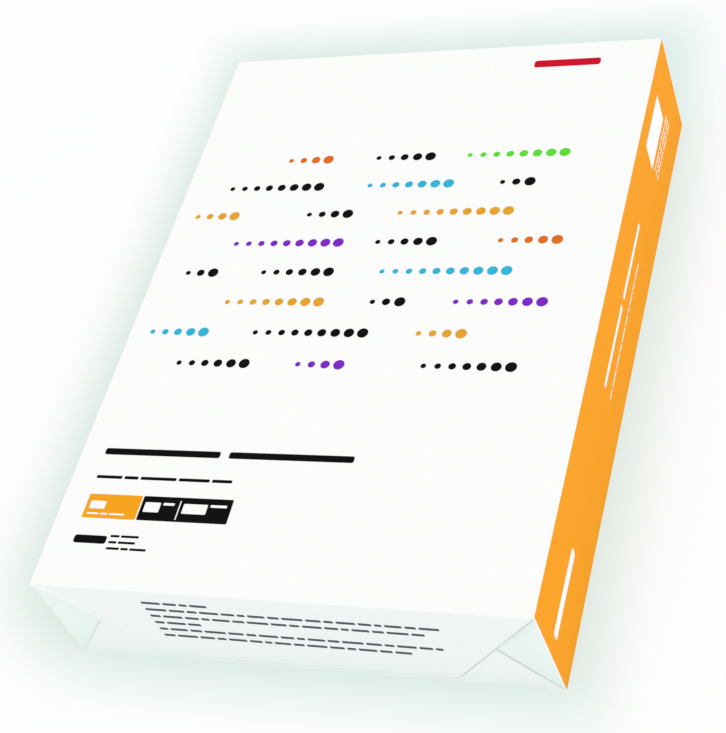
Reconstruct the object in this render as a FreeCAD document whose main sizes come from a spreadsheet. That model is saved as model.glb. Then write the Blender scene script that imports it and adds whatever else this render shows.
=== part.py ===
"""A ream of A4 office paper in its sealed wrapper, lying on its back, in millimetres.

X runs across the pack, Y along it and Z up through its thickness. The origin is the middle
of the face that the pack lies on. Each end is closed as a parcel is: the two side panels are
tucked in first, then the lower flap is folded up over them, then the upper flap down over
that. Nobody can see into the pack, so sheets and wrapper are one solid, and the folded
layers stand on each other by as much as the real ones do.
"""

import FreeCAD, Part
import Sketcher
import math
import os

# The driving sizes: name, value and what it is. They are millimetres, apart from the count of
# sheets and the two slopes, which are degrees away from upright.
SIZES = [
    ("sheet_width", 210, "short side of one sheet"),
    ("sheet_length", 297, "long side of one sheet"),
    ("sheet_count", 500, "number of sheets in the pack"),
    ("sheet_caliper", 0.108, "thickness of one sheet"),
    ("wrapper_ply", 0.12, "thickness of the coated wrapper"),
    ("side_slack", 0.38, "air between sheets and wrapper at each long side"),
    ("end_slack", 0.1, "air between sheets and tucked panels at each end"),
    ("edge_bend", 0.9, "outer radius of the wrapper where it turns an edge of the pack"),
    ("tuck_build", 0.25, "how far the tucked side panels stand on the sheets"),
    ("lower_build", 0.3, "how far a lower flap stands on the tucked panels"),
    ("upper_build", 0.35, "how far an upper flap stands on the lower one"),
    ("lower_slope", 36.9, "lean of the folded sides of a lower flap"),
    ("upper_slope", 40, "lean of the folded sides of an upper flap"),
    ("upper_margin", 4, "strip of the lower flap left bare below the upper one"),
    ("corner_round", 7, "radius of the two free corners of an upper flap"),
    ("fold_round", 0.15, "rounding along the free border of a flap"),
    ("seam_step", 0.2, "height of the free edge of the lap seam on the back"),
    ("seam_offset", 12, "distance of that edge from the middle of the back"),
]

# Lengths that follow from the driving sizes, as formulas for the features below.
PACK_WIDTH = "(Sizes.sheet_width + 2 * Sizes.side_slack + 2 * Sizes.wrapper_ply)"
PACK_HEIGHT = "(Sizes.sheet_count * Sizes.sheet_caliper + 2 * Sizes.wrapper_ply + Sizes.seam_step)"
TUCKED_LENGTH = "(Sizes.sheet_length + 2 * Sizes.end_slack + 2 * Sizes.tuck_build)"
TUCK_FACE = f"({TUCKED_LENGTH} / 2)"
LOWER_FACE = f"({TUCK_FACE} + Sizes.lower_build)"
UPPER_FACE = f"({LOWER_FACE} + Sizes.upper_build)"
FOLD_WIDTH = f"({PACK_WIDTH} - 2 * Sizes.edge_bend)"
UPPER_FOLD_HEIGHT = f"({PACK_HEIGHT} - Sizes.edge_bend)"
LOWER_FLAP_DEPTH = f"({UPPER_FOLD_HEIGHT} - Sizes.edge_bend)"

# The numbers by which a sketch knows the places on a line or an arc, its axes and its origin.
PLACES = {
    "start": (1,),
    "end": (2,),
    "centre": (3,),
    "level axis": (-1,),
    "upright axis": (-2,),
    "origin": (-1, 1),
}


def make_sheet(doc):
    """The spreadsheet that holds the driving sizes."""
    sheet = doc.addObject("Spreadsheet::Sheet", "Sizes")
    for row, (name, value, note) in enumerate(SIZES, start=1):
        sheet.set(f"A{row}", name)
        sheet.set(f"B{row}", str(value))
        sheet.setAlias(f"B{row}", name)
        sheet.set(f"C{row}", note)
    doc.recompute()
    return sheet


def amount(body, formula):
    """What a formula comes to now, for drawing an outline near its final place."""
    return float(body.evalExpression(formula))


def origin_plane(body, role):
    """One of the body's own planes."""
    return next(plane for plane in body.Origin.OriginFeatures if plane.Role == role)


def new_sketch(body, name, role, height=None):
    """A sketch on one of the body's planes, or moved off it along its normal by a formula."""
    sketch = body.newObject("Sketcher::SketchObject", name)
    sketch.AttachmentSupport = [(origin_plane(body, role), "")]
    sketch.MapMode = "FlatFace"
    if height:
        sketch.setExpression("AttachmentOffset.Base.z", height)
    return sketch


def add_line(sketch, start, end):
    """Draw a line between two places of the sketch and return its number."""
    line = Part.LineSegment(FreeCAD.Vector(*start, 0), FreeCAD.Vector(*end, 0))
    return sketch.addGeometry(line, False)


def add_arc(sketch, centre, radius, first_deg, last_deg):
    """Draw an arc that runs anticlockwise and return its number."""
    circle = Part.Circle(FreeCAD.Vector(*centre, 0), FreeCAD.Vector(0, 0, 1), radius)
    arc = Part.ArcOfCircle(circle, math.radians(first_deg), math.radians(last_deg))
    return sketch.addGeometry(arc, False)


def add_outline(sketch, corners):
    """Draw straight lines round a closed outline, joined corner to corner."""
    following = corners[1:] + corners[:1]
    lines = [add_line(sketch, start, end) for start, end in zip(corners, following)]
    for line, following_line in zip(lines, lines[1:] + lines[:1]):
        hold(sketch, "Coincident", line, "end", following_line, "start")
    return lines


def numbers(places):
    """Lines and the places on them as the plain numbers that a constraint takes."""
    return [number for place in places for number in PLACES.get(place, (place,))]


def hold(sketch, kind, *places):
    """Add a constraint that has no size."""
    sketch.addConstraint(Sketcher.Constraint(kind, *numbers(places)))


def size(sketch, kind, name, formula, *places):
    """Add a constraint whose size is a formula. The sizes of angles are degrees."""
    now = amount(sketch, formula)
    now = math.radians(now) if kind == "Angle" else now
    index = sketch.addConstraint(Sketcher.Constraint(kind, *numbers(places), now))
    sketch.renameConstraint(index, name)
    sketch.setExpression(f"Constraints.{name}", formula)


def add_pad(body, sketch, name, length, both_ways=False):
    """Extrude a sketch along its normal, or evenly to both sides of it."""
    pad = body.newObject("PartDesign::Pad", name)
    pad.Profile = sketch
    pad.SideType = "Symmetric" if both_ways else "One side"
    pad.setExpression("Length", length)
    return pad


def wrapped_sheets(body):
    """The stack in its wrapper, out to the tucked side panels, with all its edges bent."""
    half_width = amount(body, PACK_WIDTH) / 2
    height = amount(body, PACK_HEIGHT)
    sketch = new_sketch(body, "PackSection", "XZ_Plane")
    base, right, top, left = add_outline(
        sketch,
        [(-half_width, 0), (half_width, 0), (half_width, height), (-half_width, height)],
    )
    hold(sketch, "Horizontal", base)
    hold(sketch, "Horizontal", top)
    hold(sketch, "Vertical", right)
    hold(sketch, "Vertical", left)
    hold(sketch, "Symmetric", base, "start", base, "end", "origin")
    size(sketch, "DistanceX", "pack_width", PACK_WIDTH, base, "start", base, "end")
    size(sketch, "DistanceY", "pack_height", PACK_HEIGHT, right, "start", right, "end")
    block = add_pad(body, sketch, "WrappedSheets", TUCKED_LENGTH, both_ways=True)
    bends = body.newObject("PartDesign::Fillet", "EdgeBends")
    bends.Base = (block, [""])
    bends.UseAllEdges = True
    bends.setExpression("Radius", "Sizes.edge_bend")


def end_bend(body, name, outer_face, fold_height, sign):
    """The wrapper where it turns onto an end: it starts flat and bends up or down into a flap.

    fold_height is where the bend ends and the flap begins. sign is 1 for the bend over the
    top edge and -1 for the one under the bottom edge.
    """
    bend = amount(body, "Sizes.edge_bend")
    inner = -amount(body, TUCK_FACE) + bend
    outer = -amount(body, outer_face)
    fold = amount(body, fold_height)
    flat = fold + sign * bend
    sketch = new_sketch(body, f"{name}Profile", "YZ_Plane")
    back = add_line(sketch, (inner, flat), (inner, fold))
    inside = add_line(sketch, (inner, fold), (outer, fold))
    first_deg, last_deg = (90, 180) if sign > 0 else (180, 270)
    arc = add_arc(sketch, (outer + bend, fold), bend, first_deg, last_deg)
    skin = add_line(sketch, (outer + bend, flat), (inner, flat))
    at_fold, at_skin = ("end", "start") if sign > 0 else ("start", "end")
    hold(sketch, "Coincident", back, "end", inside, "start")
    hold(sketch, "Coincident", inside, "end", arc, at_fold)
    hold(sketch, "Tangent", arc, at_skin, skin, "start")
    hold(sketch, "Coincident", skin, "end", back, "start")
    hold(sketch, "Vertical", back)
    hold(sketch, "Horizontal", inside)
    hold(sketch, "PointOnObject", arc, "centre", inside)
    size(sketch, "Radius", "bend", "Sizes.edge_bend", arc)
    size(sketch, "DistanceX", "outer_face", outer_face, inside, "end", "origin")
    size(sketch, "DistanceX", "inner_end", f"{TUCK_FACE} - Sizes.edge_bend", inside, "start", "origin")
    size(sketch, "DistanceY", "fold_height", fold_height, "origin", inside, "start")
    hold(sketch, "Horizontal", skin)
    add_pad(body, sketch, name, FOLD_WIDTH, both_ways=True)


def same(first, second):
    """Whether two lengths are the same but for rounding."""
    return math.isclose(first, second, abs_tol=1e-4)


def rounded_border(body, plate, name, outer_face, fold_height):
    """Round the border of a flap, where the paper is folded double, except along its fold."""
    body.Document.recompute()
    face = -amount(body, outer_face)
    fold = amount(body, fold_height)
    border = []
    for number, edge in enumerate(plate.Shape.Edges, start=1):
        box = edge.BoundBox
        on_face = same(box.YMin, face) and same(box.YMax, face)
        on_fold = same(box.ZMin, fold) and same(box.ZMax, fold)
        if on_face and not on_fold:
            border.append(f"Edge{number}")
    rounding = body.newObject("PartDesign::Fillet", name)
    rounding.Base = (plate, border)
    rounding.setExpression("Radius", "Sizes.fold_round")


def lower_flap(body):
    """The flap folded up over the tucked panels. Its upper part is hidden under the upper flap."""
    half_fold = amount(body, FOLD_WIDTH) / 2
    depth = amount(body, LOWER_FLAP_DEPTH)
    bottom = amount(body, "Sizes.edge_bend")
    half_top = half_fold - depth * math.tan(math.radians(amount(body, "Sizes.lower_slope")))
    sketch = new_sketch(body, "LowerFlapOutline", "XZ_Plane", TUCK_FACE)
    fold, right, top, left = add_outline(
        sketch,
        [
            (-half_fold, bottom),
            (half_fold, bottom),
            (half_top, bottom + depth),
            (-half_top, bottom + depth),
        ],
    )
    hold(sketch, "Symmetric", fold, "start", fold, "end", "upright axis")
    hold(sketch, "Symmetric", top, "start", top, "end", "upright axis")
    size(sketch, "DistanceX", "fold_width", FOLD_WIDTH, fold, "start", fold, "end")
    size(sketch, "DistanceY", "fold_height", "Sizes.edge_bend", "origin", fold, "end")
    size(sketch, "DistanceY", "flap_depth", LOWER_FLAP_DEPTH, right, "start", right, "end")
    size(sketch, "Angle", "lean", "90 + Sizes.lower_slope", right)
    plate = add_pad(body, sketch, "LowerFlap", "Sizes.lower_build")
    rounded_border(body, plate, "LowerBorder", LOWER_FACE, "Sizes.edge_bend")


def upper_flap(body):
    """The flap folded down last, with a cut edge and two rounded free corners."""
    half_fold = amount(body, FOLD_WIDTH) / 2
    fold_height = amount(body, UPPER_FOLD_HEIGHT)
    cut_height = amount(body, "Sizes.upper_margin")
    radius = amount(body, "Sizes.corner_round")
    slope_deg = amount(body, "Sizes.upper_slope")
    slope = math.radians(slope_deg)
    square_corner = half_fold - (fold_height - cut_height) * math.tan(slope)
    side = square_corner + radius * math.tan(slope) - radius / math.cos(slope)
    centre_height = cut_height + radius
    side_x = side + radius * math.cos(slope)
    side_z = centre_height - radius * math.sin(slope)
    sketch = new_sketch(body, "UpperFlapOutline", "XZ_Plane", TUCK_FACE)
    fold = add_line(sketch, (-half_fold, fold_height), (half_fold, fold_height))
    right = add_line(sketch, (side_x, side_z), (half_fold, fold_height))
    right_corner = add_arc(sketch, (side, centre_height), radius, -90, -slope_deg)
    cut = add_line(sketch, (-side, cut_height), (side, cut_height))
    left_corner = add_arc(sketch, (-side, centre_height), radius, slope_deg - 180, -90)
    left = add_line(sketch, (-side_x, side_z), (-half_fold, fold_height))
    hold(sketch, "Coincident", fold, "end", right, "end")
    hold(sketch, "Coincident", fold, "start", left, "end")
    hold(sketch, "Tangent", right, "start", right_corner, "end")
    hold(sketch, "Tangent", right_corner, "start", cut, "end")
    hold(sketch, "Tangent", cut, "start", left_corner, "end")
    hold(sketch, "Tangent", left_corner, "start", left, "start")
    hold(sketch, "Symmetric", fold, "start", fold, "end", "upright axis")
    hold(sketch, "Symmetric", cut, "start", cut, "end", "upright axis")
    hold(sketch, "Equal", right_corner, left_corner)
    size(sketch, "Radius", "corner_round", "Sizes.corner_round", right_corner)
    size(sketch, "DistanceX", "fold_width", FOLD_WIDTH, fold, "start", fold, "end")
    size(sketch, "DistanceY", "fold_height", UPPER_FOLD_HEIGHT, "origin", fold, "end")
    size(sketch, "DistanceY", "cut_height", "Sizes.upper_margin", "origin", cut, "end")
    size(sketch, "Angle", "lean", "90 - Sizes.upper_slope", right)
    plate = add_pad(body, sketch, "UpperFlap", "Sizes.lower_build + Sizes.upper_build")
    rounded_border(body, plate, "UpperBorder", UPPER_FACE, UPPER_FOLD_HEIGHT)


def far_end(body):
    """The same folds at the other end."""
    body.Document.recompute()
    mirrored = body.newObject("PartDesign::Mirrored", "FarEnd")
    mirrored.TransformMode = "Whole shape"
    mirrored.MirrorPlane = (origin_plane(body, "XZ_Plane"), [""])
    body.Tip = mirrored


def back_seam(body):
    """The lap seam along the back: a free edge on one side, and paper that slopes away from it."""
    seam = amount(body, "Sizes.seam_offset")
    step = amount(body, "Sizes.seam_step")
    half_fold = amount(body, FOLD_WIDTH) / 2
    sketch = new_sketch(body, "SeamProfile", "XZ_Plane")
    base, edge, slope = add_outline(sketch, [(-half_fold, 0), (-seam, 0), (-seam, step)])
    hold(sketch, "Horizontal", base)
    hold(sketch, "Vertical", edge)
    size(sketch, "DistanceX", "seam_offset", "Sizes.seam_offset", base, "end", "origin")
    size(sketch, "DistanceX", "side_fold", f"{FOLD_WIDTH} / 2", base, "start", "origin")
    size(sketch, "DistanceY", "seam_step", "Sizes.seam_step", edge, "start", edge, "end")
    hold(sketch, "PointOnObject", base, "end", "level axis")
    pocket = body.newObject("PartDesign::Pocket", "BackSeam")
    pocket.Profile = sketch
    pocket.SideType = "Symmetric"
    pocket.setExpression("Length", f"2 * {UPPER_FACE}")
    body.Tip = pocket


def check(doc, body):
    """Stop unless every feature was worked out and the pack is one sound solid."""
    for item in doc.Objects:
        if "Invalid" in item.State or "Error" in item.State:
            raise RuntimeError(f"{item.Name} could not be worked out: {item.State}")
    shape = body.Shape
    if shape.isNull() or not shape.isValid() or len(shape.Solids) != 1:
        raise RuntimeError(f"{body.Label} is not one sound solid")


def main():
    doc = FreeCAD.newDocument("PaperReam")
    make_sheet(doc)
    body = doc.addObject("PartDesign::Body", "Pack")
    body.Label = "paper_ream"
    wrapped_sheets(body)
    lower_flap(body)
    end_bend(body, "LowerBend", LOWER_FACE, "Sizes.edge_bend", -1)
    upper_flap(body)
    end_bend(body, "UpperBend", UPPER_FACE, UPPER_FOLD_HEIGHT, 1)
    far_end(body)
    back_seam(body)
    doc.recompute()
    check(doc, body)
    os.makedirs("parts", exist_ok=True)
    body.Shape.exportStep(f"parts/{body.Label}.step")


main()
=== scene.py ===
import math

import bmesh
import bpy
from bpy.props import FloatProperty, FloatVectorProperty, PointerProperty
from mathutils import Matrix, Vector, noise
from mathutils.bvhtree import BVHTree


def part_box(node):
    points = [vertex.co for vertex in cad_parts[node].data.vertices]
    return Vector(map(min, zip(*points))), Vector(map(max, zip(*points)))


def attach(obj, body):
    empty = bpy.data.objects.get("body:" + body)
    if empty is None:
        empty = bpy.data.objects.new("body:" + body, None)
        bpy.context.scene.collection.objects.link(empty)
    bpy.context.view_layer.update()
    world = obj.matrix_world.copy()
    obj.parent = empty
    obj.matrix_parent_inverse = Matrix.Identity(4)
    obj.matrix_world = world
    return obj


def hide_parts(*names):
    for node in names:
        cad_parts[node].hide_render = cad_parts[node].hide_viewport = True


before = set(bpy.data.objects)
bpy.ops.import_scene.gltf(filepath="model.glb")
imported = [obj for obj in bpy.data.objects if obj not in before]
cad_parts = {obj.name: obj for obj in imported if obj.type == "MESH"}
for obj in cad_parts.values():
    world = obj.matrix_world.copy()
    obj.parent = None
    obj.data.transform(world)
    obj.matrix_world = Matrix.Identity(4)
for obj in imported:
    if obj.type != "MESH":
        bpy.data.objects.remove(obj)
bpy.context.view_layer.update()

bl_info = {
    "name": "Paper Ream",
    "version": (1, 0, 0),
    "blender": (4, 5, 0),
    "location": "3D View > Sidebar > Ream",
    "description": "Dresses a wrapped ream of office paper and sets it on a plain stage",
    "category": "Object",
}

# The frame. The pack lies on z = 0, its label face is up, and its printed end is towards -Y.
NODE = "paper_ream"
BODY = "root"
LOW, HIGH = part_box(NODE)

MM = 0.001
X, Y, Z = 0, 1, 2

# The wrapper's materials, in the order of its slots.
# The raw and tucked slots paint shade: the raw paper darkens the flap borders and slits, and the tucked
# paper darkens the tucked panels.
PLAIN, PRINTED, RAW_SHADED, TUCKED_SHADED = 0, 1, 2, 3

# The layers and borders of the folded ends, as the solid has them.
EDGE_BEND = 0.9 * MM
UPPER_MARGIN = 4 * MM
UPPER_SLOPE = math.radians(40)
UPPER_BUILD = 0.35 * MM
LOWER_BUILD = 0.3 * MM
UPPER_FACE = HIGH.y
LOWER_FACE = UPPER_FACE - UPPER_BUILD
TUCK_FACE = LOWER_FACE - LOWER_BUILD
HALF_FOLD = HIGH.x - EDGE_BEND
FLAT_TOP = HIGH.z - EDGE_BEND

NEAR = 0.002 * MM  # two places closer than this are the same
SUNK = 0.05 * MM  # how far printed paper lies below the solid's faces, so that ink stays within them

# Limits on one part of a face's normal, by which the faces of the folded pack are told apart.
UPRIGHT = 0.01  # a wall that leans out by less stands straight on an end
LEANING = 0.3  # a wall that leans out by less belongs to the border of a flap
LEVEL = 0.99  # a face that looks out by more lies flat on an end
TURNED = 0.6  # a face that looks sideways by more is printed with the long side


def linear(code):
    """An sRGB hex colour as linear red, green and blue."""
    parts = [int(code[start:start + 2], 16) / 255 for start in (1, 3, 5)]
    return tuple(c / 12.92 if c <= 0.04045 else ((c + 0.055) / 1.055) ** 2.4 for c in parts)


def length(name, description, default):
    """A size in metres that the user can change."""
    return FloatProperty(name=name, description=description, default=default, unit="LENGTH")


def colour(name, description, code):
    """A colour that the user can change, given as an sRGB hex code."""
    return FloatVectorProperty(
        name=name, description=description, default=linear(code), subtype="COLOR", min=0, max=1
    )


class WrapperSettings(bpy.types.PropertyGroup):
    cut_spacing: length("Cut spacing", "Distance between the cuts that let the paper give", 6 * MM)
    face_slack: length("Face slack", "How far the paper dips between the edges", 0.12 * MM)
    side_slack: length("Side slack", "How far the paper dips on the long sides", 0.2 * MM)
    end_slack: length("End slack", "How far the upper flap of an end gives", 0.25 * MM)
    slack_length: length("Slack length", "Length of one dip of the paper", 55 * MM)
    settle: length("Settle", "How far in from an edge the paper dips in full", 16 * MM)
    tuck_hollow: length("Tuck hollow", "How far a tucked panel sinks beside the flaps", 0.5 * MM)
    tuck_reach: length("Tuck reach", "How far in from the side a tucked panel sinks in full", 24 * MM)
    flap_gap: length("Flap gap", "How far the dark gap runs in under a flap's border", 0.5 * MM)
    slit_width: length("Slit width", "Width of the slit beside the upper flap", 0.75 * MM)
    slit_depth: length("Slit depth", "Depth of that slit beside a tucked panel", 1.5 * MM)
    shallow_depth: length("Shallow depth", "Depth of that slit beside the lower flap", 0.3 * MM)
    slit_start: length("Slit start", "How far below the top edge the slit is fully open", 2.5 * MM)
    flat_angle: FloatProperty(
        name="Flat angle",
        description="Faces that differ by fewer degrees than this become one",
        default=0.1,
    )
    smooth_angle: FloatProperty(
        name="Smooth angle", description="Edges that turn by more degrees than this stay sharp", default=50
    )
    white: colour("White", "Bare coated wrapping paper", "#FCFDFD")
    # Painted shade: the tucked panels are the same paper, given a darker, cooler white for the shade they
    # lie in.
    tucked_painted_shade: colour("Tucked white", "Paper of the tucked panels, which lies single", "#F4FDFA")
    # This grey-green is painted shade for the gaps beside the flaps, laid over the fibre that shows there.
    raw_edge_painted_shade: colour("Raw edge", "Fibre that shows along the flap borders", "#E9F0ED")
    side_ink: colour("Side ink", "Ink that covers both long sides", "#F9A108")


class PrintSettings(bpy.types.PropertyGroup):
    ink_film: length("Ink film", "How far one layer of print stands on the paper", 0.02 * MM)
    dot_pitch: length("Dot pitch", "Distance from dot to dot in a run", 6.2 * MM)
    small_dot: length("Small dot", "Diameter of the first dot of a run", 2.4 * MM)
    large_dot: length("Large dot", "Diameter of the last dot of a run", 5 * MM)
    row_pitch: length("Row pitch", "Distance from row to row of dots", 16.8 * MM)
    first_row: length("First row", "Height of the first row of dots on the label", -37 * MM)
    first_dot: length("First dot", "Place of the first column of dots", -94 * MM)
    title_gap: length("Title gap", "Gap between two words of a title", 4 * MM)
    word_gap: length("Word gap", "Gap between two words of small print", 1.1 * MM)
    fine_gap: length("Fine gap", "Gap between two words of the finest print", 0.7 * MM)
    black: colour("Black", "Black ink", "#0F0F0F")
    green: colour("Green", "Green ink", "#5FDE3A")
    amber: colour("Amber", "Amber ink", "#E7A52F")
    rust: colour("Rust", "Dark orange ink", "#E0701F")
    cyan: colour("Cyan", "Cyan ink", "#35B6DA")
    purple: colour("Purple", "Purple ink", "#8029C8")
    red: colour("Red", "Red ink", "#D1102E")
    orange: colour("Orange", "Orange ink of the size field", "#F9A61E")
    grey: colour("Grey", "Small print on the end", "#545D61")


class StageSettings(bpy.types.PropertyGroup):
    focal: FloatProperty(name="Focal length", description="Lens in mm on a 36 mm sensor", default=90.06)
    azimuth: FloatProperty(name="Azimuth", description="Degrees round from -Y to +X", default=34.36)
    elevation: FloatProperty(name="Elevation", description="Degrees above the floor", default=47.25)
    roll: FloatProperty(name="Roll", description="Tilt of the picture in degrees", default=-25.85)
    distance: length("Distance", "Camera to the point that it looks at", 789.9 * MM)
    aim: FloatVectorProperty(
        name="Aim",
        description="The point that the camera looks at",
        default=(-4.8 * MM, -16.1 * MM, 26 * MM),
        subtype="XYZ",
        unit="LENGTH",
    )
    floor_size: length("Floor size", "Side of the square floor", 6.0)
    sky: FloatProperty(name="Sky", description="Strength of the even light all round", default=0.83)
    sky_tint: colour("Sky tint", "Colour of the even light", "#F2FFFB")
    key: FloatProperty(name="Key", description="What the soft key adds on a level face", default=0.275)
    key_tint: colour("Key tint", "Colour of the soft key", "#FFD4DD")
    key_source: FloatVectorProperty(
        name="Key source",
        description="Direction that the soft key comes from",
        default=(0.16, -0.035, 0.22),
        subtype="XYZ",
    )
    key_spread: FloatProperty(name="Key spread", description="Width of the soft key in degrees", default=50)
    glow: FloatProperty(
        name="Glow", description="Share of the floor's light that comes from the table below", default=0.85
    )
    floor_white: colour("Floor", "Floor away from the pack", "#FDFEFE")
    # Painted shadow: around the pack the floor's colour turns to this green-grey, in the shape of a soft
    # shadow cast from a point.
    floor_painted_shadow: colour("Floor tint", "Floor below the pack", "#D8EAE4")
    shadow_inset: length("Tint inset", "How far inside its outline the tint starts to fade", 15 * MM)
    shadow_reach: length("Tint reach", "How far outside its outline the tint ends", 36 * MM)
    shadow_round: length("Tint round", "How widely the tint rounds the corners of its outline", 30 * MM)
    painted_shadow_source: FloatVectorProperty(
        name="Tint source",
        description="The pack's shadow from this point is the outline of the tint",
        default=(250 * MM, -441 * MM, 585 * MM),
        subtype="XYZ",
        unit="LENGTH",
    )


# Meshes

def cut_across(shape, axis, places):
    """Cut the whole mesh by planes at right angles to an axis."""
    normal = Vector((0, 0, 0))
    normal[axis] = 1
    for place in places:
        geometry = shape.verts[:] + shape.edges[:] + shape.faces[:]
        bmesh.ops.bisect_plane(
            shape, geom=geometry, dist=NEAR, plane_co=normal * place, plane_no=normal
        )


def even_cuts(half, spacing):
    """Places from -half to half, no more than about one spacing apart."""
    count = math.ceil(2 * half / spacing)
    return [half * (2 * number / count - 1) for number in range(count + 1)]


def new_piece(name, shape, *materials):
    """Make an object of a finished mesh, riding on the pack."""
    mesh = bpy.data.meshes.new(name)
    shape.to_mesh(mesh)
    shape.free()
    for material in materials:
        mesh.materials.append(material)
    piece = bpy.data.objects.new(name, mesh)
    bpy.context.scene.collection.objects.link(piece)
    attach(piece, BODY)
    return piece


def smooth_over(piece, angle_deg):
    """Shade a piece smoothly by its own form, apart from edges sharper than the angle."""
    read_normals = piece.data.attributes.get("custom_normal")
    if read_normals:
        piece.data.attributes.remove(read_normals)
    piece.data.polygons.foreach_set("use_smooth", [True] * len(piece.data.polygons))
    piece.data.set_sharp_from_angle(angle=math.radians(angle_deg))


# The wrapper

def ease(value, low, high):
    """0 below low and 1 above high, with a smooth run between."""
    share = min(max((value - low) / (high - low), 0), 1)
    return share * share * (3 - 2 * share)


def dip(place, reach):
    """A smooth pattern between 0 and 1, whose dips are one reach long."""
    return 0.5 + 0.5 * noise.noise(place / reach)


def beside_upper_flap(place):
    """How far a place on an end lies inside the slanted border of the upper flap."""
    across = (HIGH.x - abs(place.x)) * math.cos(UPPER_SLOPE)
    down = (HIGH.z - place.z) * math.sin(UPPER_SLOPE)
    return across - down


def is_flap_border(face, lean):
    """Whether a face stands round a flap of a folded end and leans out less than the limit."""
    centre = face.calc_center_median()
    on_end = abs(centre.y) > TUCK_FACE + NEAR and abs(centre.x) < HALF_FOLD - EDGE_BEND / 4
    return on_end and abs(face.normal.y) < lean


def is_of_upper_flap(face):
    """Whether a face reaches out past the lower flap."""
    return max(abs(vert.co.y) for vert in face.verts) > LOWER_FACE + NEAR


def is_below_upper_flap(face):
    """Whether a face lies flat on an end, on the lower flap or on the tucked panels."""
    depth = abs(face.calc_center_median().y)
    return abs(face.normal.y) > LEVEL and TUCK_FACE - NEAR < depth < LOWER_FACE + NEAR


def outline_of_upper_flap(shape):
    """Each straight piece of the upper flap's free border: a place on it and its outward side."""
    outline = []
    for face in shape.faces:
        if is_flap_border(face, UPRIGHT) and is_of_upper_flap(face) and face.normal.z < 0:
            outward = Vector((face.normal.x, 0, face.normal.z)).normalized()
            outline.append((face.calc_center_median(), outward))
    return outline


def past_outline(outline, place):
    """How far a place on an end lies outside the upper flap."""
    return max(outward.dot(place - start) for start, outward in outline)


def cut_beside_upper_flap(shape, outline, width):
    """Cut the layers below the upper flap by lines that run round it at one distance."""
    for start, outward in outline:
        faces = [face for face in shape.faces if is_below_upper_flap(face)]
        edges = {edge for face in faces for edge in face.edges}
        verts = {vert for face in faces for vert in face.verts}
        bmesh.ops.bisect_plane(
            shape,
            geom=[*verts, *edges, *faces],
            dist=NEAR,
            plane_co=start + outward * width,
            plane_no=outward,
        )


def open_borders(shape, outline, settings):
    """Lead the foot of each flap border in under the flap, and deeper beside the upper flap. The borders
    and the slit beside the upper flap take the raw paper, whose colour paints their shade.
    """
    moves = {}
    for face in shape.faces:
        if is_flap_border(face, LEANING):
            upper = is_of_upper_flap(face)
            foot = LOWER_FACE if upper else TUCK_FACE
            # The border walls take the raw paper, whose colour paints the shade in the gap.
            face.material_index = RAW_SHADED
            for vert in face.verts:
                if abs(vert.co.y) < foot + NEAR:
                    moves.setdefault(vert, []).append((face.normal * face.calc_area(), upper))
        elif is_below_upper_flap(face):
            if past_outline(outline, face.calc_center_median()) < settings.slit_width:
                # The slit's faces take it too, as painted shade where the slit runs deep.
                face.material_index = RAW_SHADED
    for vert, found in moves.items():
        outward = sum((normal for normal, upper in found), Vector((0, 0, 0)))
        outward.y = 0
        away = ease(HIGH.z - vert.co.z, EDGE_BEND, settings.slit_start)
        vert.co -= outward.normalized() * settings.flap_gap * away
        if any(upper for normal, upper in found):
            on_panel = abs(vert.co.y) < TUCK_FACE + NEAR
            depth = settings.slit_depth if on_panel else settings.shallow_depth
            vert.co.y -= math.copysign(depth * away, vert.co.y)


def slack_of_end(place, settings):
    """How far a place on a folded end gives. Of the flaps only the upper one dips, inside its borders."""
    level = abs(place.y)
    if level < TUCK_FACE + NEAR:
        return settings.tuck_hollow * min((HIGH.x - abs(place.x)) / settings.tuck_reach, 1)
    if level < UPPER_FACE - NEAR:
        return 0
    inside = min(beside_upper_flap(place), place.z - UPPER_MARGIN, HIGH.z - place.z)
    wave = dip(place, settings.slack_length)
    return SUNK + settings.end_slack * wave * ease(inside, EDGE_BEND, settings.settle)


def slacken(shape, settings):
    """Let the paper dip a little between the edges, always inwards."""
    for vert in shape.verts:
        x, y, z = vert.co
        across = ease(HIGH.x - abs(x), EDGE_BEND, settings.settle)
        along = ease(HIGH.y - abs(y), EDGE_BEND, settings.settle)
        upright = ease(min(z - LOW.z, HIGH.z - z), EDGE_BEND, settings.settle)
        wave = dip(vert.co, settings.slack_length)
        if HIGH.z - z < NEAR:
            vert.co.z -= SUNK + settings.face_slack * wave * across * along
        elif z - LOW.z < NEAR:
            vert.co.z += settings.face_slack * wave * across * along
        elif HIGH.x - abs(x) < NEAR:
            vert.co.x -= math.copysign(SUNK + settings.side_slack * wave * along * upright, x)
        elif abs(y) > TUCK_FACE - NEAR:
            vert.co.y -= math.copysign(slack_of_end(vert.co, settings), y)


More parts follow.
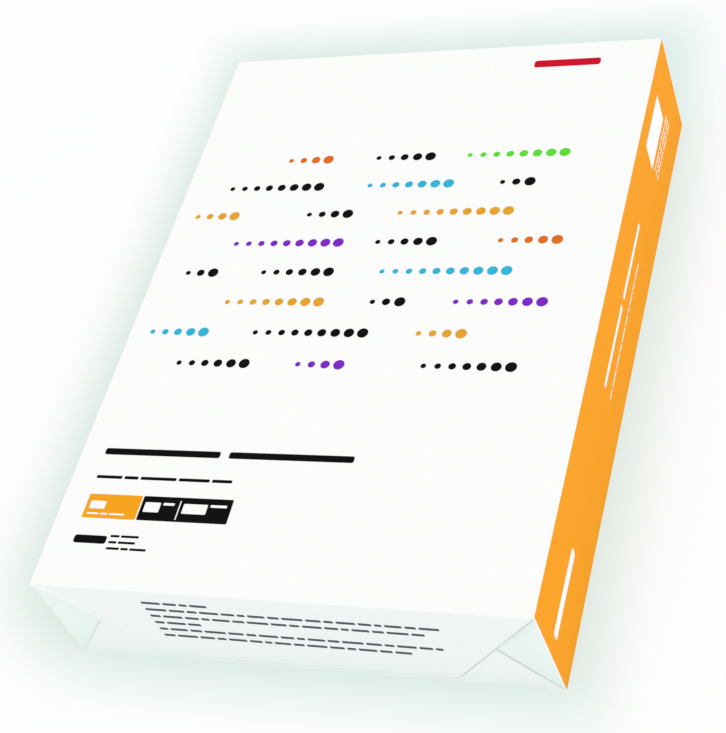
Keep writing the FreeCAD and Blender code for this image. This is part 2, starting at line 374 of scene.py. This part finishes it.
def dress_wrapper(settings):
    """A finer copy of the folded pack that is cut across and slackened like paper."""
    shape = bmesh.new()
    shape.from_mesh(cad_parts[NODE].data)
    bmesh.ops.remove_doubles(shape, verts=shape.verts, dist=NEAR)
    bmesh.ops.dissolve_limit(
        shape, angle_limit=math.radians(settings.flat_angle), verts=shape.verts, edges=shape.edges
    )
    outline = outline_of_upper_flap(shape)
    cut_beside_upper_flap(shape, outline, settings.slit_width)
    hold = EDGE_BEND / 2
    cut_across(shape, X, even_cuts(HALF_FOLD, settings.cut_spacing))
    cut_across(shape, X, (hold - HALF_FOLD, HALF_FOLD - hold))
    cut_across(shape, Y, even_cuts(TUCK_FACE - EDGE_BEND, settings.cut_spacing))
    heights = even_cuts(FLAT_TOP / 2 - EDGE_BEND, settings.cut_spacing)
    cut_across(shape, Z, [FLAT_TOP / 2 + height for height in heights])
    cut_across(shape, Z, (EDGE_BEND + hold, FLAT_TOP - hold))
    # The tucked panels take the tucked paper, whose darker tone is painted shade.
    for face in shape.faces:
        on_panel = abs(abs(face.calc_center_median().y) - TUCK_FACE) < NEAR
        face.material_index = TUCKED_SHADED if on_panel else PLAIN
    open_borders(shape, outline, settings)
    slacken(shape, settings)
    bmesh.ops.triangulate(shape, faces=shape.faces)
    for face in shape.faces:
        centre = face.calc_center_median()
        if abs(face.normal.x) > TURNED and abs(centre.x) > HALF_FOLD:
            face.material_index = PRINTED
    return shape


# Print

CORNER_SEGMENTS = 5
DOT_SEGMENTS = 28
WORD_ROUNDING = 0.3  # a share of the height of the word
SHORT_WORD = 3  # words that fill a line are between these widths, in millimetres
LONG_WORD = 9.5
LENGTH_SHIFT = 0.1  # how far each millimetre of a line's length moves the pattern of its words
PAPER_SEARCH = 1 * MM  # how far off the pack the print starts to look for the paper

# Each printed face has a flat sheet of its own, which its matrix lays on the pack.
FACES = {
    "label": Matrix.Translation((0, 0, HIGH.z)),
    "side": Matrix.Translation((HIGH.x, 0, 0)) @ Matrix(((0, 0, 1), (1, 0, 0), (0, 1, 0))).to_4x4(),
    "end": Matrix.Translation((0, -UPPER_FACE, 0)) @ Matrix(((1, 0, 0), (0, 0, -1), (0, 1, 0))).to_4x4(),
}


def add_bar(shape, left, right, low, high, rounding):
    """A flat field with rounded corners on the sheet."""
    made = bmesh.ops.create_grid(shape, x_segments=1, y_segments=1, size=0.5)
    size = Vector((right - left, high - low, 1))
    middle = Vector(((left + right) / 2, (low + high) / 2, 0))
    bmesh.ops.transform(
        shape, matrix=Matrix.Translation(middle) @ Matrix.Diagonal(size).to_4x4(), verts=made["verts"]
    )
    bmesh.ops.bevel(
        shape,
        geom=made["verts"],
        affect="VERTICES",
        offset=rounding,
        segments=CORNER_SEGMENTS,
        profile=0.5,
        material=-1,
    )


def add_dot(shape, centre, diameter):
    """A flat round dot on the sheet."""
    bmesh.ops.create_circle(
        shape,
        cap_ends=True,
        segments=DOT_SEGMENTS,
        radius=diameter / 2,
        matrix=Matrix.Translation((*centre, 0)),
    )


def add_fields(shape, fields):
    """Fields on the sheet, each as its left, right, low and high and its rounding in millimetres."""
    for field in fields:
        add_bar(shape, *(size * MM for size in field))


def add_words(shape, line, widths, gap):
    """Greeked words, one rounded bar for each width. Their line is its left end, its middle and
    its height. It and the widths are in millimetres."""
    left, middle, height = (size * MM for size in line)
    for width in widths:
        right = left + width * MM
        add_bar(shape, left, right, middle - height / 2, middle + height / 2, height * WORD_ROUNDING)
        left = right + gap


def fill_line(shape, line, total, gap):
    """Greeked words that fill a line of a total width in millimetres. Their widths vary as those
    of words do, worked out from the golden ratio."""
    golden = (math.sqrt(5) - 1) / 2
    widths = []
    left = total
    while left > SHORT_WORD + gap / MM:
        share = ((len(widths) + 1) * golden + total * LENGTH_SHIFT) % 1
        widths.append(min(SHORT_WORD + (LONG_WORD - SHORT_WORD) * share, left))
        left -= widths[-1] + gap / MM
    add_words(shape, line, widths, gap)


def print_on(face, name, shape, surface, settings, material, layers=1):
    """Give flat print its film and lay it on the paper, dips and all."""
    spacing = bpy.context.scene.ream_wrapper.cut_spacing
    for axis in (X, Y):
        cut_across(shape, axis, even_cuts(HIGH.y, spacing))
    grown = bmesh.ops.extrude_face_region(shape, geom=shape.faces[:])
    upper = [item for item in grown["geom"] if isinstance(item, bmesh.types.BMVert)]
    bmesh.ops.translate(shape, vec=(0, 0, (1 + layers) * settings.ink_film), verts=upper)
    bmesh.ops.recalc_face_normals(shape, faces=shape.faces)
    matrix = FACES[face]
    outward = (matrix.to_3x3() @ Vector((0, 0, 1))).normalized()
    for vert in shape.verts:
        film = vert.co.z - settings.ink_film
        start = matrix @ Vector((vert.co.x, vert.co.y, 0)) + outward * PAPER_SEARCH
        place = surface.ray_cast(start, -outward)[0]
        if place is None:
            raise RuntimeError(f"{name} reaches past the paper")
        vert.co = place + outward * film
    return new_piece(name, shape, material)


def print_field(face, name, field, surface, settings, material):
    """Print one field as a piece of its own."""
    shape = bmesh.new()
    add_fields(shape, [field])
    return print_on(face, name, shape, surface, settings, material)


# Materials

BLACK = (0, 0, 0, 1)
WHITE = (1, 1, 1, 1)


def add_node(tree, kind, settings=None, **inputs):
    """Add a node, set its properties, and set or link its inputs."""
    node = tree.nodes.new(kind)
    for name, value in (settings or {}).items():
        setattr(node, name, value)
    for name, value in inputs.items():
        socket = node.inputs[int(name[1:])] if name[0] == "_" else node.inputs[name.replace("_", " ")]
        if isinstance(value, bpy.types.NodeSocket):
            tree.links.new(value, socket)
        else:
            socket.default_value = value
    return node


def new_material(name):
    """An empty material, its node tree and its Object coordinates."""
    material = bpy.data.materials.new(name)
    material.use_nodes = True
    tree = material.node_tree
    tree.nodes.clear()
    place = add_node(tree, "ShaderNodeTexCoord").outputs["Object"]
    return material, tree, place


def math_node(tree, operation, *values):
    """One step of arithmetic."""
    inputs = {f"_{number}": value for number, value in enumerate(values)}
    return add_node(tree, "ShaderNodeMath", {"operation": operation}, **inputs).outputs[0]


def grain(tree, place, size, detail=2.0):
    """Even noise whose grains are one size across."""
    noise_node = add_node(
        tree, "ShaderNodeTexNoise", Vector=place, Scale=1 / size, Detail=detail, Roughness=0.55
    )
    return noise_node.outputs["Fac"]


def between(tree, value, low, high, from_low=0.3, from_high=0.7):
    """Spread a noise value over a range."""
    spread = add_node(
        tree,
        "ShaderNodeMapRange",
        Value=value,
        From_Min=from_low,
        From_Max=from_high,
        To_Min=low,
        To_Max=high,
    )
    return spread.outputs["Result"]


def mixed(tree, share, first, second, blend="MIX"):
    """Two colours blended by a share of the second."""
    settings = {"data_type": "RGBA", "blend_type": blend}
    return add_node(tree, "ShaderNodeMix", settings, _0=share, _6=first, _7=second).outputs[2]


def scaled(tree, tone, factor):
    """A colour made lighter or darker by a factor."""
    grey = add_node(tree, "ShaderNodeCombineColor", _0=factor, _1=factor, _2=factor).outputs[0]
    return mixed(tree, 1.0, (*tone, 1), grey, "MULTIPLY")


def close_surface(material, tree, shader):
    """Join a shader to the material's output."""
    out = add_node(tree, "ShaderNodeOutputMaterial")
    tree.links.new(shader.outputs[0], out.inputs["Surface"])
    return material


def coated_paper(name, tone):
    """Bleached kraft wrapping paper with a thin moisture-proof coating. To the eye it is a soft
    satin white, with a faint cloudy formation and a fine tooth that the coating leaves."""
    material, tree, place = new_material(name)
    cloud = grain(tree, place, size=7 * MM)
    fibre = grain(tree, place, size=0.6 * MM, detail=4)
    clouded = between(tree, cloud, low=0.985, high=1.0)
    level = math_node(tree, "MULTIPLY", clouded, between(tree, fibre, low=0.985, high=1.0))
    tooth = add_node(tree, "ShaderNodeBump", Strength=0.25, Distance=0.02 * MM, Height=fibre)
    shader = add_node(
        tree,
        "ShaderNodeBsdfPrincipled",
        Base_Color=scaled(tree, tone, level),
        Roughness=between(tree, cloud, low=0.42, high=0.52),
        IOR=1.47,
        Specular_IOR_Level=0.3,
        Normal=tooth.outputs[0],
    )
    return close_surface(material, tree, shader)


def raw_border_with_painted_shade(name, tone):
    """The border of a flap, where the coating breaks over the fold and the duller fibre of the kraft shows.
    It is quite matt, with a coarse tooth and a faint mottle of fibre. Its grey-green tone, and the
    darkening the deeper it lies, are painted shade for the gaps beside the flaps."""
    material, tree, place = new_material(name)
    fibre = grain(tree, place, size=0.4 * MM, detail=4)
    along = add_node(tree, "ShaderNodeSeparateXYZ", Vector=place).outputs[Y]
    level = math_node(tree, "ABSOLUTE", along)
    # Painted shade: the colour darkens the deeper the face lies below the lower flap, down to 0.3 at the
    # slit's floor.
    deepest = LOWER_FACE - 1.8 * MM
    shade = between(tree, level, low=0.3, high=1.0, from_low=deepest, from_high=LOWER_FACE)
    fibre_and_shade = math_node(tree, "MULTIPLY", shade, between(tree, fibre, low=0.88, high=1.0))
    tooth = add_node(tree, "ShaderNodeBump", Strength=0.4, Distance=0.03 * MM, Height=fibre)
    shader = add_node(
        tree,
        "ShaderNodeBsdfPrincipled",
        Base_Color=scaled(tree, tone, fibre_and_shade),
        Roughness=between(tree, fibre, low=0.8, high=0.95),
        Normal=tooth.outputs[0],
    )
    return close_surface(material, tree, shader)


def printed_side(name, tone, paper):
    """Flexographic spot colour over the coated paper. It is flat and even, a shade glossier than
    the bare paper, and cracked to white in hair lines where it was folded over the edges."""
    material, tree, place = new_material(name)
    cloud = grain(tree, place, size=5 * MM)
    screen = grain(tree, place, size=0.5 * MM, detail=3)
    axes = add_node(tree, "ShaderNodeSeparateXYZ", Vector=place).outputs
    from_middle = math_node(tree, "ABSOLUTE", math_node(tree, "SUBTRACT", axes[Z], HIGH.z / 2))
    along = math_node(tree, "ABSOLUTE", axes[Y])
    inset = 0.35 * EDGE_BEND
    long_edge = HIGH.z / 2 - inset
    end_edge = TUCK_FACE - inset
    run = 0.1 * MM
    near_long = between(tree, from_middle, low=0, high=1, from_low=long_edge - run, from_high=long_edge)
    near_end = between(tree, along, low=0, high=1, from_low=end_edge - run, from_high=end_edge)
    edge = math_node(tree, "MAXIMUM", near_long, near_end)
    flakes = grain(tree, place, size=0.4 * MM, detail=4)
    flake = between(tree, flakes, low=0, high=1, from_low=0.6, from_high=0.75)
    cracked = math_node(tree, "MULTIPLY", edge, flake)
    clouded = between(tree, cloud, low=0.975, high=1.0)
    even = math_node(tree, "MULTIPLY", clouded, between(tree, screen, low=0.98, high=1.0))
    worn = mixed(tree, cracked, scaled(tree, tone, even), (*paper, 1))
    tooth = add_node(tree, "ShaderNodeBump", Strength=0.2, Distance=0.02 * MM, Height=screen)
    shader = add_node(
        tree,
        "ShaderNodeBsdfPrincipled",
        Base_Color=worn,
        Roughness=between(tree, cloud, low=0.42, high=0.52),
        IOR=1.5,
        Specular_IOR_Level=0.02,
        Normal=tooth.outputs[0],
    )
    return close_surface(material, tree, shader)


def flexo_ink(name, tone):
    """A thin film of flexographic ink. It lies flat on the coating, with a faint mottle where
    the plate pressed less, and a slightly closer gloss than the paper round it."""
    material, tree, place = new_material(name)
    mottle = grain(tree, place, size=0.8 * MM, detail=3)
    shader = add_node(
        tree,
        "ShaderNodeBsdfPrincipled",
        Base_Color=scaled(tree, tone, between(tree, mottle, low=0.94, high=1.0)),
        Roughness=between(tree, mottle, low=0.42, high=0.55),
        IOR=1.5,
        Specular_IOR_Level=0.02,
    )
    return close_surface(material, tree, shader)


def ink(colour_name):
    """The ink of that name, made once."""
    name = f"flexo_ink_{colour_name}"
    group = "ream_wrapper" if colour_name == "white" else "ream_print"
    tone = getattr(getattr(bpy.context.scene, group), colour_name)
    return bpy.data.materials.get(name) or flexo_ink(name, tone)


def paper_surface():
    """The wrapper's own surface, which print is laid on."""
    mesh = bpy.data.objects["wrapper"].data
    places = [vert.co for vert in mesh.vertices]
    return BVHTree.FromPolygons(places, [face.vertices for face in mesh.polygons])


# Operators

class REAM_OT_wrapper(bpy.types.Operator):
    """Dress the pack in its folded wrapper"""

    bl_idname = "ream.wrapper"
    bl_label = "Wrapper"

    def execute(self, context):
        settings = context.scene.ream_wrapper
        shape = dress_wrapper(settings)
        white = coated_paper("coated_wrapping_paper", settings.white)
        printed = printed_side("printed_wrapping_paper", settings.side_ink, settings.white)
        # The raw border paper paints shade into the flap borders and slits.
        raw = raw_border_with_painted_shade("raw_paper_border_painted_shade", settings.raw_edge_painted_shade)
        # The same coated paper in a darker tone, which paints the tucked panels' shade.
        tucked = coated_paper("tucked_wrapping_paper_painted_shade", settings.tucked_painted_shade)
        piece = new_piece("wrapper", shape, white, printed, raw, tucked)
        smooth_over(piece, settings.smooth_angle)
        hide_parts(NODE)
        return {"FINISHED"}


class REAM_OT_dots(bpy.types.Operator):
    """Print the runs of growing dots on the label face"""

    bl_idname = "ream.dots"
    bl_label = "Dots"

    # Each run is its row, its first column, how many dots it has and its ink.
    RUNS = [
        (0, 3, 6, "black"),
        (0, 12, 4, "purple"),
        (0, 21, 7, "black"),
        (1, 0, 5, "cyan"),
        (1, 8, 9, "black"),
        (1, 20, 4, "amber"),
        (2, 5, 8, "amber"),
        (2, 16, 3, "black"),
        (2, 22, 7, "purple"),
        (3, 1, 3, "black"),
        (3, 7, 6, "black"),
        (3, 16, 10, "cyan"),
        (4, 4, 9, "purple"),
        (4, 15, 5, "black"),
        (4, 24, 5, "rust"),
        (5, 0, 4, "amber"),
        (5, 9, 4, "black"),
        (5, 16, 9, "amber"),
        (6, 2, 8, "black"),
        (6, 13, 7, "cyan"),
        (6, 23, 3, "black"),
        (7, 6, 4, "rust"),
        (7, 13, 5, "black"),
        (7, 20, 8, "green"),
    ]

    def execute(self, context):
        settings = context.scene.ream_print
        surface = paper_surface()
        sheets = {}
        for row, column, count, colour_name in self.RUNS:
            if colour_name not in sheets:
                sheets[colour_name] = bmesh.new()
            for number in range(count):
                share = number / (count - 1)
                diameter = settings.small_dot + (settings.large_dot - settings.small_dot) * share
                x = settings.first_dot + settings.dot_pitch * (column + number)
                y = settings.first_row + settings.row_pitch * row
                add_dot(sheets[colour_name], (x, y), diameter)
        for colour_name, shape in sheets.items():
            print_on("label", f"dots_{colour_name}", shape, surface, settings, ink(colour_name))
        return {"FINISHED"}


class REAM_OT_label(bpy.types.Operator):
    """Print the greeked title, the size field and the small print on the label face"""

    bl_idname = "ream.label"
    bl_label = "Label print"

    # Lines of words, and the widths of the words or the width that they fill, in millimetres.
    TITLE = (-94, -84, 3.2)
    TITLE_WORDS = (53.5, 55)
    SUBTITLE = (-93.5, -96.8, 1.5)
    SUBTITLE_WORDS = (12, 6.5, 16.5, 14, 9)
    BLOCK = (-92.9, -127, 3.8)
    BLOCK_WORDS = (15,)
    ADDRESS = [
        ((-76.6, -125, 1.1), 15.5),
        ((-76.6, -127.9, 1.1), 14.9),
        ((-76.6, -130.8, 1.1), 18.2),
    ]
    FIELD_LINE = (-91.7, -114.7, 0.8)
    FIELD_LINE_WIDTH = 18

    # Fields, each as its left, right, low and high and its rounding, in millimetres.
    SIZE_FIELD = (-93.3, -68.6, -116.9, -105.3, 0.6)
    COUNT_FIELD = (-68, -27.5, -116.9, -105.3, 0.6)
    RED_BAR = (48.5, 79.5, 134.4, 138.8, 1.3)
    WHITE_FIELDS = [
        (-91.5, -84.3, -112.4, -108.6, 0.5),
        (-66.4, -59.3, -112.9, -108.2, 0.5),
        (-58.1, -53.1, -109.4, -108.2, 0.3),
        (-50.85, -50.35, -115.9, -106.9, 0.1),
        (-48.9, -38.1, -112.9, -108.2, 0.5),
        (-36.9, -29.6, -109.4, -108.2, 0.3),
    ]

    def execute(self, context):
        settings = context.scene.ream_print
        surface = paper_surface()
        dark = bmesh.new()
        add_words(dark, self.TITLE, self.TITLE_WORDS, settings.title_gap)
        add_words(dark, self.SUBTITLE, self.SUBTITLE_WORDS, settings.word_gap)
        add_words(dark, self.BLOCK, self.BLOCK_WORDS, settings.word_gap)
        for line, width in self.ADDRESS:
            fill_line(dark, line, width, settings.fine_gap)
        print_on("label", "label_words", dark, surface, settings, ink("black"))
        print_field("label", "label_size_field", self.SIZE_FIELD, surface, settings, ink("orange"))
        print_field("label", "label_count_field", self.COUNT_FIELD, surface, settings, ink("black"))
        pale = bmesh.new()
        add_fields(pale, self.WHITE_FIELDS)
        fill_line(pale, self.FIELD_LINE, self.FIELD_LINE_WIDTH, settings.fine_gap)
        print_on("label", "label_fields_white", pale, surface, settings, ink("white"), layers=2)
        print_field("label", "label_bar_red", self.RED_BAR, surface, settings, ink("red"))
        return {"FINISHED"}


class REAM_OT_side(bpy.types.Operator):
    """Print the white bars and fields on the long side"""

    bl_idname = "ream.side"
    bl_label = "Side print"

    # Lines of words, and the widths of the words or the width that they fill, in millimetres.
    TITLE = (-28.5, 31, 2.6)
    TITLE_WORDS = (42, 41)
    BLOCK = (-141.5, 27, 5)
    BLOCK_WORDS = (38,)
    FILLED = [
        ((-27.5, 21.4, 1.0), 77),
        ((95.5, 25.6, 0.9), 34),
        ((95.5, 22.6, 0.9), 34),
        ((95.5, 19.6, 0.9), 34),
    ]
    SIZE_FIELD = (92.5, 123.5, 29.4, 44.4, 0.8)

    def execute(self, context):
        settings = context.scene.ream_print
        pale = bmesh.new()
        add_words(pale, self.TITLE, self.TITLE_WORDS, settings.title_gap)
        add_words(pale, self.BLOCK, self.BLOCK_WORDS, settings.word_gap)
        add_fields(pale, [self.SIZE_FIELD])
        for line, width in self.FILLED:
            fill_line(pale, line, width, settings.word_gap)
        print_on("side", "side_words", pale, paper_surface(), settings, ink("white"))
        return {"FINISHED"}


class REAM_OT_end(bpy.types.Operator):
    """Print the small print on the near end"""

    bl_idname = "ream.end"
    bl_label = "End print"

    # Lines of words and the width that they fill, in millimetres.
    FILLED = [
        ((-58, 45.6, 1.7), 32.3),
        ((-58, 40.6, 1.7), 123.5),
        ((-58, 35.6, 1.7), 116.3),
        ((-58, 30.6, 1.7), 25.8),
        ((-58, 25.6, 1.7), 125),
        ((-58, 20.6, 1.7), 106.9),
    ]

    def execute(self, context):
        settings = context.scene.ream_print
        shape = bmesh.new()
        for line, width in self.FILLED:
            fill_line(shape, line, width, settings.word_gap)
        print_on("end", "end_words", shape, paper_surface(), settings, ink("grey"))
        return {"FINISHED"}


class REAM_OT_stage(bpy.types.Operator):
    """Set the floor, the even light, the soft key and the camera"""

    bl_idname = "ream.stage"
    bl_label = "Stage"

    def execute(self, context):
        settings = context.scene.ream_stage
        self.lay_floor(settings)
        self.light(context.scene, settings)
        self.aim_camera(context.scene, settings)
        context.scene.view_settings.view_transform = "Standard"
        return {"FINISHED"}

    def lay_floor(self, settings):
        """The table that the pack lies on."""
        shape = bmesh.new()
        bmesh.ops.create_grid(shape, x_segments=1, y_segments=1, size=settings.floor_size / 2)
        mesh = bpy.data.meshes.new("floor")
        shape.to_mesh(mesh)
        shape.free()
        mesh.materials.append(self.floor_material(settings))
        floor = bpy.data.objects.new("floor", mesh)
        bpy.context.scene.collection.objects.link(floor)

    def painted_shadow_outline(self, source):
        """The outline of the painted shadow: the pack and its shadow from the source, as points on the
        floor.
        """
        near_left = (LOW.x, LOW.y)
        near_right = (HIGH.x, LOW.y)
        far_right = (HIGH.x, HIGH.y)
        far_left = (LOW.x, HIGH.y)
        points = [Vector(corner) for corner in (near_left, near_right, far_right)]
        for corner in (far_right, far_left, near_left):
            place = Vector((*corner, HIGH.z))
            ray = place - source
            points.append((place - ray * (place.z / ray.z)).to_2d())
        return points

    def floor_material(self, settings):
        """A white light table, which glows through a painted soft shadow of the pack around it."""
        material, tree, place = new_material("light_table")
        points = self.painted_shadow_outline(Vector(settings.painted_shadow_source))
        away = None
        for start, stop in zip(points, points[1:] + points[:1]):
            along = (stop - start).normalized()
            outward = Vector((along.y, -along.x, 0))
            dot = {"operation": "DOT_PRODUCT"}
            reach = add_node(tree, "ShaderNodeVectorMath", dot, _0=place, _1=outward[:])
            beyond = math_node(tree, "SUBTRACT", reach.outputs["Value"], outward.to_2d().dot(start))
            if away is None:
                away = beyond
            else:
                away = math_node(tree, "SMOOTH_MAX", away, beyond, settings.shadow_round)
        share = add_node(
            tree,
            "ShaderNodeMapRange",
            {"interpolation_type": "SMOOTHSTEP"},
            Value=away,
            From_Min=-settings.shadow_inset,
            From_Max=settings.shadow_reach,
            To_Min=0,
            To_Max=1,
        )
        # The painted shadow's tone, which fades out to the floor's white.
        tint = (*settings.floor_painted_shadow, 1)
        tone = mixed(tree, share.outputs["Result"], tint, (*settings.floor_white, 1))
        glow = add_node(tree, "ShaderNodeEmission", Color=tone, Strength=settings.glow)
        card = add_node(tree, "ShaderNodeBsdfDiffuse", Color=tone, Roughness=0.0).outputs[0]
        clear = add_node(tree, "ShaderNodeBsdfDiffuse", Color=BLACK, Roughness=0.0).outputs[0]
        part = add_node(tree, "ShaderNodeMixShader", _0=settings.glow, _1=card, _2=clear)
        both = add_node(tree, "ShaderNodeAddShader", _0=glow.outputs[0], _1=part.outputs[0])
        return close_surface(material, tree, both)

    def light(self, scene, settings):
        """Even light all round, which the camera sees as white, and a soft key from one side."""
        world = bpy.data.worlds.new("even_light")
        world.use_nodes = True
        tree = world.node_tree
        tree.nodes.clear()
        ray = add_node(tree, "ShaderNodeLightPath").outputs["Is Camera Ray"]
        strength = between(tree, ray, low=settings.sky, high=1.0, from_low=0, from_high=1)
        seen = mixed(tree, ray, (*settings.sky_tint, 1), WHITE)
        back = add_node(tree, "ShaderNodeBackground", Strength=strength, Color=seen)
        out = add_node(tree, "ShaderNodeOutputWorld")
        tree.links.new(back.outputs[0], out.inputs["Surface"])
        scene.world = world
        towards = Vector(settings.key_source).normalized()
        lamp = bpy.data.lights.new("soft_key", "SUN")
        lamp.color = settings.key_tint
        lamp.energy = settings.key * math.pi / towards.z
        lamp.angle = math.radians(settings.key_spread)
        key = bpy.data.objects.new("soft_key", lamp)
        key.rotation_euler = towards.to_track_quat("Z", "Y").to_euler()
        scene.collection.objects.link(key)

    def aim_camera(self, scene, settings):
        """The camera that took the photograph."""
        lens = bpy.data.cameras.new("camera")
        lens.lens = settings.focal
        camera = bpy.data.objects.new("camera", lens)
        around = math.radians(settings.azimuth)
        above = math.radians(settings.elevation)
        back = Vector(
            (
                math.sin(around) * math.cos(above),
                -math.cos(around) * math.cos(above),
                math.sin(above),
            )
        )
        camera.location = Vector(settings.aim) + back * settings.distance
        upright = back.to_track_quat("Z", "Y").to_matrix()
        rolled = upright @ Matrix.Rotation(math.radians(settings.roll), 3, "Z")
        camera.rotation_euler = rolled.to_euler()
        scene.collection.objects.link(camera)
        scene.camera = camera


class REAM_PT_panel(bpy.types.Panel):
    """Lists the steps that dress the pack"""

    bl_label = "Paper Ream"
    bl_idname = "REAM_PT_panel"
    bl_space_type = "VIEW_3D"
    bl_region_type = "UI"
    bl_category = "Ream"

    def draw(self, context):
        for step in STEPS:
            self.layout.operator(step.bl_idname)
        for group in SETTINGS:
            for name in SETTINGS[group].__annotations__:
                self.layout.prop(getattr(context.scene, group), name)


STEPS = (REAM_OT_wrapper, REAM_OT_dots, REAM_OT_label, REAM_OT_side, REAM_OT_end, REAM_OT_stage)
SETTINGS = {
    "ream_wrapper": WrapperSettings,
    "ream_print": PrintSettings,
    "ream_stage": StageSettings,
}


def register():
    for cls in (*SETTINGS.values(), *STEPS, REAM_PT_panel):
        bpy.utils.register_class(cls)
    for name, group in SETTINGS.items():
        setattr(bpy.types.Scene, name, PointerProperty(type=group))


def unregister():
    for name in SETTINGS:
        delattr(bpy.types.Scene, name)
    for cls in (REAM_PT_panel, *reversed(STEPS), *SETTINGS.values()):
        bpy.utils.unregister_class(cls)


def main():
    register()
    bpy.ops.ream.wrapper()
    bpy.ops.ream.dots()
    bpy.ops.ream.label()
    bpy.ops.ream.side()
    bpy.ops.ream.end()
    bpy.ops.ream.stage()


if __name__ == "__main__":
    main()
